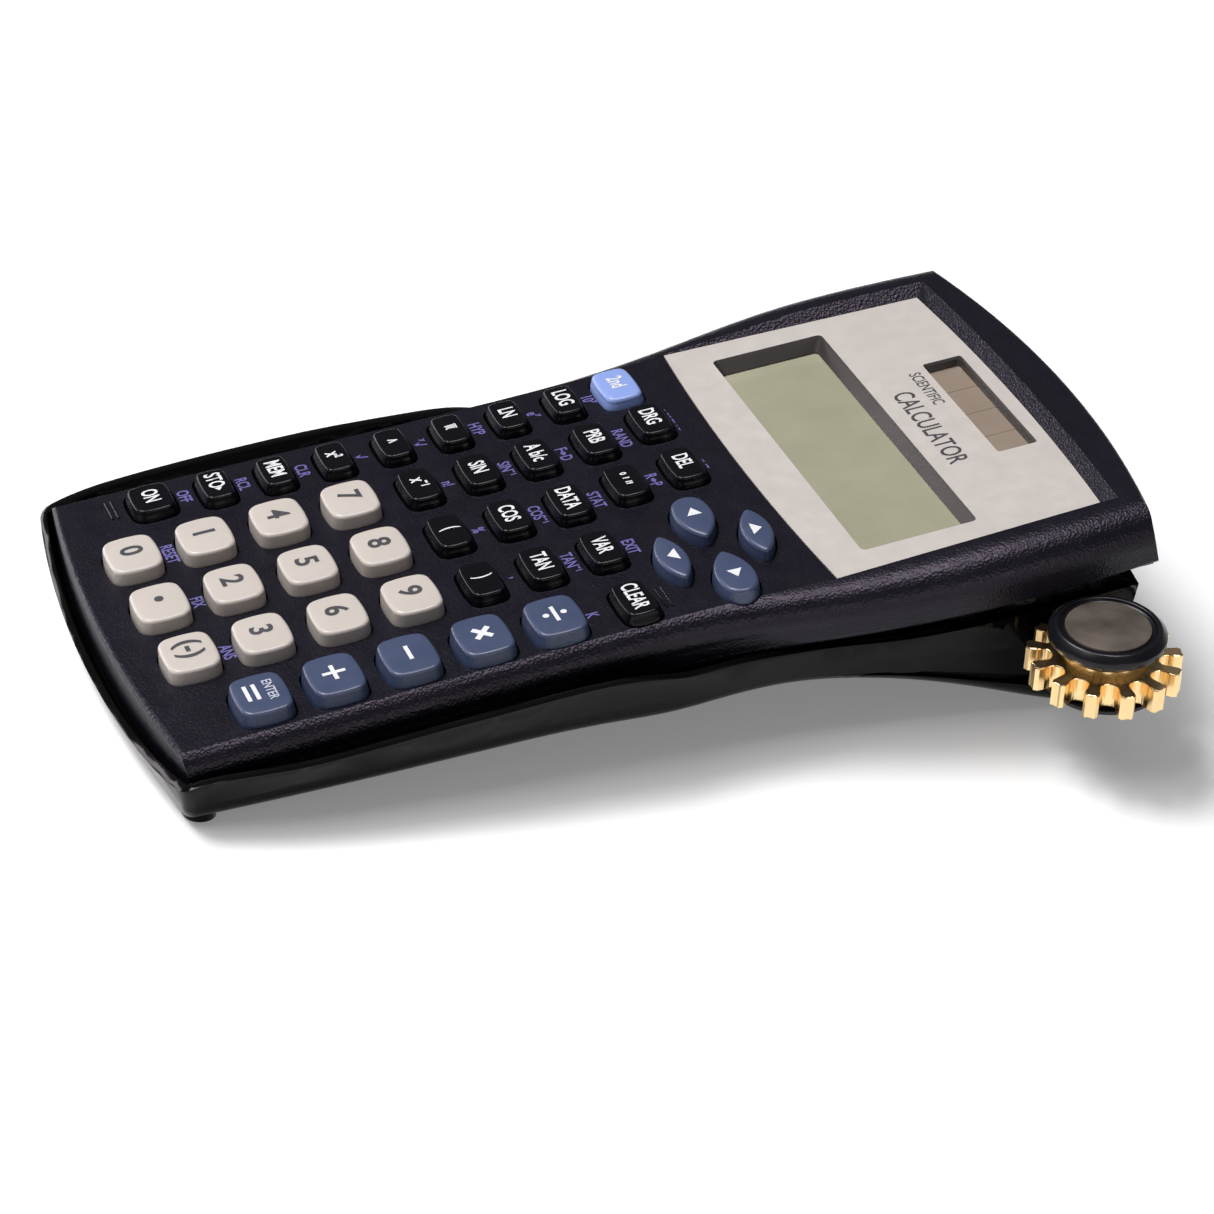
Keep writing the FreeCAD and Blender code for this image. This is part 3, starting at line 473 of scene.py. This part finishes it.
def rounded_frame(area, inset, radius, z, steps=6):
    """Rounded rectangle around an opening, drawn in by inset, as a ring of points."""
    half, y0, y1 = area[0] - inset, area[1] + inset, area[2] - inset
    points = []
    for x, y, start in ((half, y1, 0), (-half, y1, 90), (-half, y0, 180), (half, y0, 270)):
        centre = Vector((x - math.copysign(radius, x), y + (radius if y == y0 else -radius)))
        for k in range(steps + 1):
            around = centre + direction(math.radians(start + 90 * k / steps)) * radius
            points.append((around.x, around.y, z))
    return points


def make_bezel(name, area, levels, radius):
    """Lining that slopes from the edge of an opening down to what lies in it."""
    rings = [rounded_frame(area, inset, radius, z) for inset, z in levels]
    points, faces = stacked(rings)
    piece(name, points, faces, CALC, "calculator", "bezel", smooth=False)


def slab(name, x0, x1, y0, y1, z0, z1, slot):
    """Small block on the calculator with its top edges bevelled over part of its height."""
    ease = 0.3 * (z1 - z0)
    centre = ((x0 + x1) / 2, (y0 + y1) / 2)
    rings = []
    for inset, z in ((0, z0), (0, z1 - ease), (ease, z1)):
        half, depth = (x1 - x0) / 2 - inset, (y1 - y0) / 2 - inset
        rings.append([(centre[0] + a * half, centre[1] + b * depth, z)
                      for a, b in ((1, 1), (-1, 1), (-1, -1), (1, -1))])
    points, faces = stacked(rings)
    faces.append((8, 9, 10, 11))
    piece(name, points, faces, CALC, "calculator", slot, smooth=False)


def make_display():
    """Linings of the openings, words on the panel, lines between the solar cells, raised bars."""
    make_bezel("window_bezel", WINDOW, WINDOW_LINING, 0.7)
    make_bezel("solar_bezel", SOLAR, SOLAR_LINING, 0.5)
    for text, (x, y, height, width) in WORDS.items():
        lettering("panel_" + text.lower(), text, height, width,
                  CALC @ Matrix.Translation((x, y, 0)), "calculator", "ink_dark", 0.01, 0.7)
    half, y0, y1 = SOLAR
    for k in range(1, SOLAR_CELLS):
        x = -half + 2 * half * k / SOLAR_CELLS
        slab("solar_line_%d" % k, x - CELL_LINE_HALF, x + CELL_LINE_HALF, y0 + 0.3, y1 - 0.3,
             CELL_TOP, CELL_TOP + 0.04, "cell_line")
    for name, (x0, x1, rows) in RAISED_BARS.items():
        for k, y in enumerate(rows):
            slab("%s_%d" % (name, k), x0, x1, y - RAISED_BAR_HALF, y + RAISED_BAR_HALF,
                 -0.1, 0.3, "case_plastic")


# ---- spinner --------------------------------------------------------------------------
TEETH = 13
GEAR_TURN = math.radians(4.5)
TIP_R = 11.4
ROOT_ROUND = 1.45                    # radius of the rounded gap between two teeth
ROOT_CENTRE = 9.35                   # distance from the axle to the middle of that rounding
GAP_MEETS = ROOT_CENTRE + 0.6        # where the rounding meets the flank of the tooth
GAP_HALF = (1.22, 0.184)             # half width of a gap at its root, and its growth outwards
# broken corners of a tooth: how far below the tip they begin and end, and their width
CORNER_FROM, CORNER_TO, CORNER_WIDTH = 0.5, 0.06, 0.4
GEAR_Z = (0.9, 4.9)
GEAR_EASE = 0.16                     # bevel around both faces of the gear
HUB_R = 6.6
HUB_TOP = 6.2
BORE_R = 5.7
ROOT_STEPS, TIP_STEPS = 8, 4

# (radius, height) around the upper cap, from its bore up to the recess for the disc
CAP_PROFILE = ((3.5, 6.5), (3.5, 7.5), (8.5, 7.5), (8.75, 7.75), (8.75, 8.72), (8.68, 8.9),
               (7.92, 9.66), (7.8, 9.77), (7.62, 9.8), (7.3, 9.8), (7.14, 9.72), (7.1, 9.6),
               (7.1, 9.32), (6.3, 9.3), (2.4, 9.3))
INLAY_PROFILE = ((6.35, 9.3), (6.35, 9.56), (6.27, 9.64), (6.1, 9.66), (3.0, 9.66), (0.01, 9.66))


def lathe(name, profile, body, slot, steps=96):
    """Turned piece of the spinner from its (radius, height) profile."""
    around = [direction(2 * math.pi * k / steps) for k in range(steps)]
    points, faces = stacked([[(r * d.x, r * d.y, z) for d in around] for r, z in profile])
    return piece(name, points, faces, SPIN, body, slot)


def gap_half(radius):
    """Half width of the gap between two teeth at a distance from the axle."""
    return GAP_HALF[0] + GAP_HALF[1] * (radius - ROOT_CENTRE)


def gear_outline(inset):
    """Outline of the gear in the middle of the metal, drawn in by inset."""
    tip, pitch = TIP_R - inset, 2 * math.pi / TEETH
    middle = (tip + GAP_MEETS) / 2
    corner = tip - CORNER_FROM
    half = [(tip - CORNER_TO, gap_half(tip) + CORNER_WIDTH + inset),
            (corner, gap_half(corner) + inset), (middle, gap_half(middle) + inset)]
    start = math.asin(gap_half(GAP_MEETS) / ROOT_ROUND)
    for k in range(ROOT_STEPS + 1):
        reach = direction(start + (math.pi - start) * k / ROOT_STEPS) * (ROOT_ROUND + inset)
        half.append((ROOT_CENTRE + reach.x, reach.y))
    gap = [(x, -y) for x, y in half] + half[-2::-1]
    first = math.atan2(gap[-1][1], gap[-1][0])
    across = pitch - 2 * first           # angle across the tip of one tooth
    for k in range(1, TIP_STEPS):
        gap.append(tuple(direction(first + across * k / TIP_STEPS) * tip))
    points = []
    for tooth in range(TEETH):
        out = direction(GEAR_TURN + pitch * tooth)
        points += [(x * out.x - y * out.y, x * out.y + y * out.x) for x, y in gap]
    return points


def make_gear():
    """Gear with its raised hub and bore, in place of the CAD one."""
    low, high = GEAR_Z
    ease = GEAR_EASE
    levels = ((ease, low), (0, low + ease), (0, high - ease), (0.3 * ease, high - 0.3 * ease),
              (ease, high))
    rings = [[(x, y, z) for x, y in gear_outline(inset)] for inset, z in levels]
    around = [Vector((x, y)).normalized() for x, y, _ in rings[-1]]
    hub = ((HUB_R, high), (HUB_R, HUB_TOP - 0.2), (HUB_R - 0.2, HUB_TOP),
           (BORE_R + 0.15, HUB_TOP), (BORE_R, HUB_TOP - 0.15), (BORE_R, low))
    rings += [[(r * d.x, r * d.y, z) for d in around] for r, z in hub]
    points, faces = stacked(rings + [rings[0]])
    gear = piece("gear_teeth", points, faces, SPIN, "gear", "brass", smooth=False)
    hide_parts("gear_wheel")


def make_cap():
    """Upper cap with its bevels, and the textured disc set into it."""
    cap = lathe("spinner_cap_body", CAP_PROFILE, "cover", "cap_black")
    inlay = lathe("spinner_cap_inlay", INLAY_PROFILE, "cover", "cap_inlay")
    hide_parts("spinner_cap")


# ---- legends --------------------------------------------------------------------------
FONT_CAPITAL = 0.73                  # height of a capital in the font, for size 1
INK_LIFT = 0.02                      # height of the print above the surface
SIGN_X = -0.1                        # middle of the signs on the operator keys
DOT_R, DOT_SIDES = 0.48, 16
# arrow on an arrow key: length, half width, as it points along the keys or across them
ARROW_ALONG, ARROW_ACROSS = (1.9, 1.15), (1.6, 1.45)
ARROW_SHIFT = {"key_right": 1.1, "key_left": -1.1}
# keys whose signs are drawn from bars: name: (name of the bar, x, y, width, height)
SIGNS = {
    "key_plus": (("across", SIGN_X, 0, 3.4, 0.62), ("up", SIGN_X, 1.0, 0.62, 1.4),
                 ("down", SIGN_X, -1.0, 0.62, 1.4)),
    "key_minus": (("across", SIGN_X, 0, 3.3, 0.62),),
    "key_divide": (("across", SIGN_X, 0, 3.6, 0.6),),
    "key_enter": (("upper", -0.3, -0.6, 3.7, 0.6), ("lower", -0.3, -1.9, 3.7, 0.6)),
}
DIVIDE_DOTS = (("top", 1.35), ("low", -1.35))


def lettering(name, text, height, width, matrix, body, slot, bold=0.02, narrow=1.0,
              lift=INK_LIFT):
    """Printed text centred on the matrix's origin.

    height is that of a capital and width is the most it may take; bold thickens the strokes and
    narrow is the width of the letters as a share of the font's own.
    """
    curve = bpy.data.curves.new(name, "FONT")
    curve.body = text
    curve.size = 1.0
    curve.offset = bold
    curve.resolution_u = 4
    source = bpy.data.objects.new(name + "_text", curve)
    bpy.context.scene.collection.objects.link(source)
    bpy.context.view_layer.update()
    mesh = bpy.data.meshes.new_from_object(source)
    bpy.data.objects.remove(source)
    xs = [v.co.x for v in mesh.vertices]
    ys = [v.co.y for v in mesh.vertices]
    scale = height / FONT_CAPITAL
    across = min(scale * narrow, width / (max(xs) - min(xs)))
    middle = ((max(xs) + min(xs)) / 2, (max(ys) + min(ys)) / 2)
    for v in mesh.vertices:
        v.co = matrix @ Vector(((v.co.x - middle[0]) * across, (v.co.y - middle[1]) * scale,
                                lift))
    mesh.materials.clear()
    obj = bpy.data.objects.new(name, mesh)
    bpy.context.scene.collection.objects.link(obj)
    paint(obj, slot)
    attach(obj, body)


def key_top(key):
    """Height of the middle of a key's crown above the face."""
    shape = KEYS[key][2]
    return shape["height"] + shape["crown"]


def flat_shape(name, key, points):
    """White flat polygon printed on top of a key."""
    shaped = [(x, y, key_top(key) + INK_LIFT) for x, y in points]
    piece(name, shaped, [tuple(range(len(points)))], key_matrix(key), key, "ink_white", False)


def make_arrow(name):
    """White triangle on an arrow key."""
    pointing = PETALS[name][2]
    way = math.radians(pointing)
    length, half = ARROW_ACROSS if abs(pointing) == 90 else ARROW_ALONG
    along, side = direction(way), direction(way + math.pi / 2)
    middle = Vector((ARROW_SHIFT.get(name, 0.0), 0.0))
    corners = (middle + along * length / 2, middle - along * length / 2 + side * half,
               middle - along * length / 2 - side * half)
    flat_shape(name + "_arrow", name, corners)


def operator_sign(name):
    """Bold sign on an operator key, drawn from bars and dots."""
    for part, x, y, width, height in SIGNS[name]:
        a, b = width / 2, height / 2
        flat_shape(name + "_" + part, name,
                   ((x - a, y - b), (x + a, y - b), (x + a, y + b), (x - a, y + b)))
    if name == "key_divide":
        for end, y in DIVIDE_DOTS:
            rim = [direction(2 * math.pi * k / DOT_SIDES) * DOT_R for k in range(DOT_SIDES)]
            flat_shape(name + "_dot_" + end, name, [(SIGN_X + p.x, y + p.y) for p in rim])
    if name == "key_enter":
        place = key_matrix(name) @ Matrix.Translation((SIGN_X, 1.5, key_top(name)))
        lettering(name + "_word", "ENTER", 1.45, 5.2, place, name, "ink_pale", 0.015, 0.8)


def key_legend(name):
    """Print on a key, and its second legend on the case beyond it."""
    x, y, shape, slot, text, second = KEYS[name]

    def print_on(dx, dy, height, width, ink, bold, narrow=1.0):
        place = key_matrix(name) @ Matrix.Translation((dx, dy, key_top(name)))
        lettering(name + "_legend", text, height, width, place, name, ink, bold, narrow)

    if name in PETALS:
        make_arrow(name)
    elif name in SIGNS:
        operator_sign(name)
    elif slot == IVORY:
        print_on(-0.4, 0, 3.4, 4.6, "ink_dark", 0.025)
    elif name == "key_times":
        print_on(SIGN_X, 0, 4.2, 3.4, "ink_white", 0.03)
    else:
        bold = 0.0 if name == "key_pi" else 0.02
        print_on(-0.2, 0.1, 2.5, shape["size"][0] - 2.2, "ink_white", bold, 0.62)
    if second:
        place = CALC @ Matrix.Translation((x - 0.4, y + shape["size"][1] / 2 + 1.55, 0))
        lettering(name + "_second_legend", second, 1.9, 8.2, place, "calculator", "ink_violet",
                  0.02, 0.7, 0.015)


# ---- stage ----------------------------------------------------------------------------
CAMERA_AT = (473.2, -90.1, 344.9)    # place and directions in the calculator's millimetres
CAMERA_RIGHT = Vector((0.3691, 0.9286, -0.0398))
CAMERA_UP = Vector((-0.5335, 0.2467, 0.8091))
CAMERA_LENS = 121.62

# name: place in metres, size in metres, watts, colour
SOFTBOXES = {"key": ((-0.45, -0.6, 1.25), (0.6, 0.6), 19, (1, 1, 1)),
             "fill": ((0.1, -0.7, 1.2), (0.6, 0.6), 5, (1, 1, 1))}
# softboxes that are only seen in reflections, so they add highlights and no shadow
GLOSS_BOXES = {"zenith": ((0.15, 0.06, 1.2), (0.4, 0.5), 9, (1.0, 0.90, 0.97)),
               "near_strip": ((1.3, 0.2, 0.32), (0.9, 0.12), 2.4, (1.0, 0.93, 0.92)),
               "low_left": ((-1.4, -1.0, 0.25), (1.2, 0.35), 9, (0.98, 0.90, 0.96))}
GLOSS_TARGET = (0, 0, 0.02)
FLOOR_REACH = 6.0


def make_camera():
    """Camera to the right of the calculator, high over the side of its keypad end."""
    data = bpy.data.cameras.new("camera")
    data.lens = CAMERA_LENS
    data.clip_end = 20
    camera = bpy.data.objects.new("camera", data)
    bpy.context.scene.collection.objects.link(camera)
    turn = CALC.to_3x3().normalized()
    right = (turn @ CAMERA_RIGHT).normalized()
    up = (turn @ CAMERA_UP).normalized()
    back = right.cross(up)
    matrix = Matrix((right, up, back)).transposed().to_4x4()
    matrix.translation = CALC @ Vector(CAMERA_AT)
    camera.matrix_world = matrix
    bpy.context.scene.camera = camera


def area_light(name, place, target, size, power, colour):
    """Soft rectangular light that faces target."""
    data = bpy.data.lights.new(name, "AREA")
    data.shape = "RECTANGLE"
    data.size, data.size_y = size
    data.energy = power
    data.color = colour
    light = bpy.data.objects.new(name, data)
    bpy.context.scene.collection.objects.link(light)
    light.location = place
    light.rotation_euler = (Vector(target) - Vector(place)).to_track_quat("-Z", "Y").to_euler()
    return light


def make_floor():
    """White table that stays nearly white in the shadow's outskirts."""
    mesh = bpy.data.meshes.new("floor")
    corners = ((-1, -1), (1, -1), (1, 1), (-1, 1))
    mesh.from_pydata([(x * FLOOR_REACH, y * FLOOR_REACH, 0) for x, y in corners], [],
                     [(0, 1, 2, 3)])
    floor = bpy.data.objects.new("floor", mesh)
    bpy.context.scene.collection.objects.link(floor)
    made = finish("floor_paper", (0.93, 0.93, 0.93), 0.7, 0.005,
                  Emission_Color=(1, 1, 1, 1), Emission_Strength=0.2)
    floor.data.materials.append(made)


def make_world():
    """Faint, slightly blue light from all around."""
    world = bpy.data.worlds.new("studio")
    bpy.context.scene.world = world
    world.use_nodes = True
    sky = world.node_tree.nodes["Background"]
    sky.inputs["Color"].default_value = (0.93, 0.93, 1.0, 1)
    sky.inputs["Strength"].default_value = 0.14


def make_stage():
    """Floor, lights and camera."""
    make_floor()
    make_world()
    for name, (place, size, power, colour) in SOFTBOXES.items():
        area_light(name, place, (0, 0, 0), size, power, colour)
    for name, (place, size, power, colour) in GLOSS_BOXES.items():
        light = area_light(name, place, GLOSS_TARGET, size, power, colour)
        light.visible_diffuse = False
    make_camera()
    bpy.context.scene.view_settings.view_transform = "Standard"


paint_cad_nodes()
ease_edges("slide_cover", 0.35)
for key_name in KEYS:
    make_key(key_name)
    key_legend(key_name)
make_display()
make_gear()
make_cap()
make_stage()
